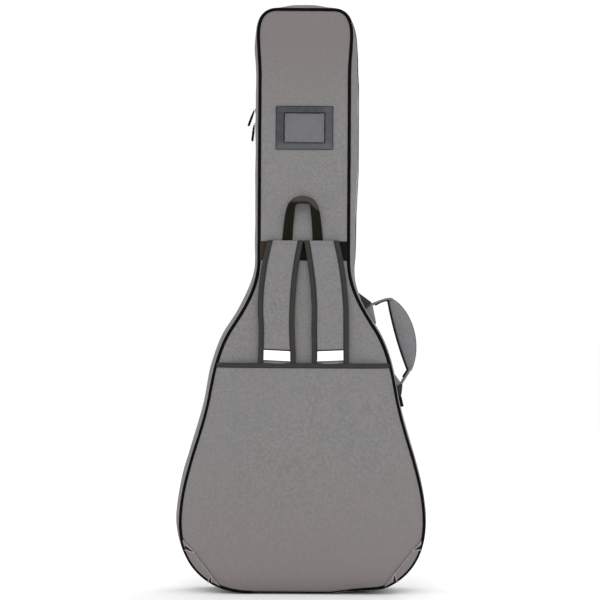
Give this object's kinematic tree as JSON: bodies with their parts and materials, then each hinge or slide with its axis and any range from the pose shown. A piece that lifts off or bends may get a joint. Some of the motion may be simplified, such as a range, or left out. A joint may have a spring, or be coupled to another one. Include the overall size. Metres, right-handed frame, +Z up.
{
  "type": "padded gig bag",
  "caption": "Padded guitar gig bag with folding lid, shoulder straps, hang loop, side carry handle, card holder and stow pocket.",
  "frame": {"origin": "on the floor, under the middle of the bag as it stands upright on its base", "axes": "+Z up along the neck, +X towards the carry handle, +Y towards the lid; the shoulder straps face -Y"},
  "size_m": [0.455, 0.1537, 1.079],
  "materials": {
    "canvas": "matte",
    "gusset_canvas": "matte",
    "foam": "matte",
    "lining": "satin",
    "piping": "satin",
    "zip_tape": "matte",
    "yoke_webbing": "matte",
    "binding": "matte",
    "black_webbing": "satin",
    "reflective": "satin",
    "card_frame": "satin",
    "card_pane": "gloss",
    "buckle": "satin",
    "rubber": "matte",
    "slider_metal": "satin"
  },
  "bodies": {
    "shell": {"back_panel": "canvas", "back_foam": "foam", "back_lining": "lining", "front_side_panel": "canvas", "front_side_foam": "foam", "front_side_lining": "lining", "back_gusset": "gusset_canvas", "back_gusset_foam": "foam", "back_gusset_lining": "lining", "spine_gusset": "gusset_canvas", "spine_gusset_foam": "foam", "spine_gusset_lining": "lining", "back_piping": "piping", "front_side_piping": "piping", "zip_tape_back": "zip_tape", "yoke_band": "yoke_webbing", "card_frame": "card_frame", "card_pane": "card_pane", "stow_pocket": "canvas", "stow_binding": "binding", "corner_patch_left": "canvas", "corner_patch_right": "canvas", "ladder_lock_left": "buckle", "ladder_lock_right": "buckle", "stowed_webbing_left": "black_webbing", "stowed_webbing_right": "black_webbing", "handle_anchor_upper": "binding", "handle_anchor_lower": "binding", "neck_cradle": "lining", "neck_strap": "black_webbing", "end_pin_pad": "rubber"},
    "lid": {"lid_panel": "canvas", "lid_foam": "foam", "lid_lining": "lining", "lid_gusset": "gusset_canvas", "lid_gusset_foam": "foam", "lid_gusset_lining": "lining", "lid_piping": "piping", "zip_tape_lid": "zip_tape", "pocket_gusset": "gusset_canvas", "pocket_panel": "canvas", "pocket_piping": "piping", "pocket_zip_tape": "zip_tape"},
    "strap_left": {"strap_pad_left": "canvas", "strap_binding_left": "binding", "strap_reflector_left": "reflective"},
    "strap_right": {"strap_pad_right": "canvas", "strap_binding_right": "binding", "strap_reflector_right": "reflective"},
    "loop": {"hang_loop": "black_webbing"},
    "handle": {"handle_webbing": "yoke_webbing", "handle_grip": "canvas"},
    "upper_slider": {"upper_slider": "slider_metal"},
    "upper_puller": {"upper_puller": "black_webbing"},
    "lower_slider": {"lower_slider": "slider_metal"},
    "lower_puller": {"lower_puller": "black_webbing"},
    "pocket_slider": {"pocket_slider": "slider_metal"},
    "pocket_puller": {"pocket_puller": "black_webbing"}
  },
  "joints": [
    {"name": "lid_fold", "type": "hinge", "parent": "shell", "child": "lid", "pos_m": [0.106, 0.0628, 0.5], "axis": [0, 0, -1], "range_deg": [0, 110]},
    {"name": "strap_left_lift", "type": "hinge", "parent": "shell", "child": "strap_left", "pos_m": [-0.034, -0.0635, 0.6505], "axis": [-1, 0, 0], "range_deg": [0, 20]},
    {"name": "strap_right_lift", "type": "hinge", "parent": "shell", "child": "strap_right", "pos_m": [0.034, -0.0635, 0.6505], "axis": [-1, 0, 0], "range_deg": [0, 20]},
    {"name": "loop_fold", "type": "hinge", "parent": "shell", "child": "loop", "pos_m": [0, -0.0623, 0.654], "axis": [1, 0, 0], "range_deg": [-6, 65]},
    {"name": "handle_swing", "type": "hinge", "parent": "shell", "child": "handle", "pos_m": [0.122, 0, 0.535], "axis": [0.3725, 0, -0.928], "range_deg": [-60, 60]},
    {"name": "upper_slider_travel", "type": "slide", "parent": "shell", "child": "upper_slider", "axis": [0, 0, 1], "range_m": [0, 0.045]},
    {"name": "upper_puller_swing", "type": "hinge", "parent": "upper_slider", "child": "upper_puller", "pos_m": [-0.0938, -0.0032, 0.893], "axis": [0, 1, 0], "range_deg": [-12, 110]},
    {"name": "lower_slider_travel", "type": "slide", "parent": "shell", "child": "lower_slider", "axis": [0, 0, -1], "range_m": [0, 0.22]},
    {"name": "lower_puller_swing", "type": "hinge", "parent": "lower_slider", "child": "lower_puller", "pos_m": [-0.0938, 0.0032, 0.867], "axis": [0, 1, 0], "range_deg": [-4, 110]},
    {"name": "pocket_slider_travel", "type": "slide", "parent": "lid", "child": "pocket_slider", "axis": [-1, 0, 0], "range_m": [0, 0.09]},
    {"name": "pocket_puller_swing", "type": "hinge", "parent": "pocket_slider", "child": "pocket_puller", "pos_m": [0.039, 0.068, 0.3625], "axis": [0, 1, 0], "range_deg": [0, 150]}
  ]
}
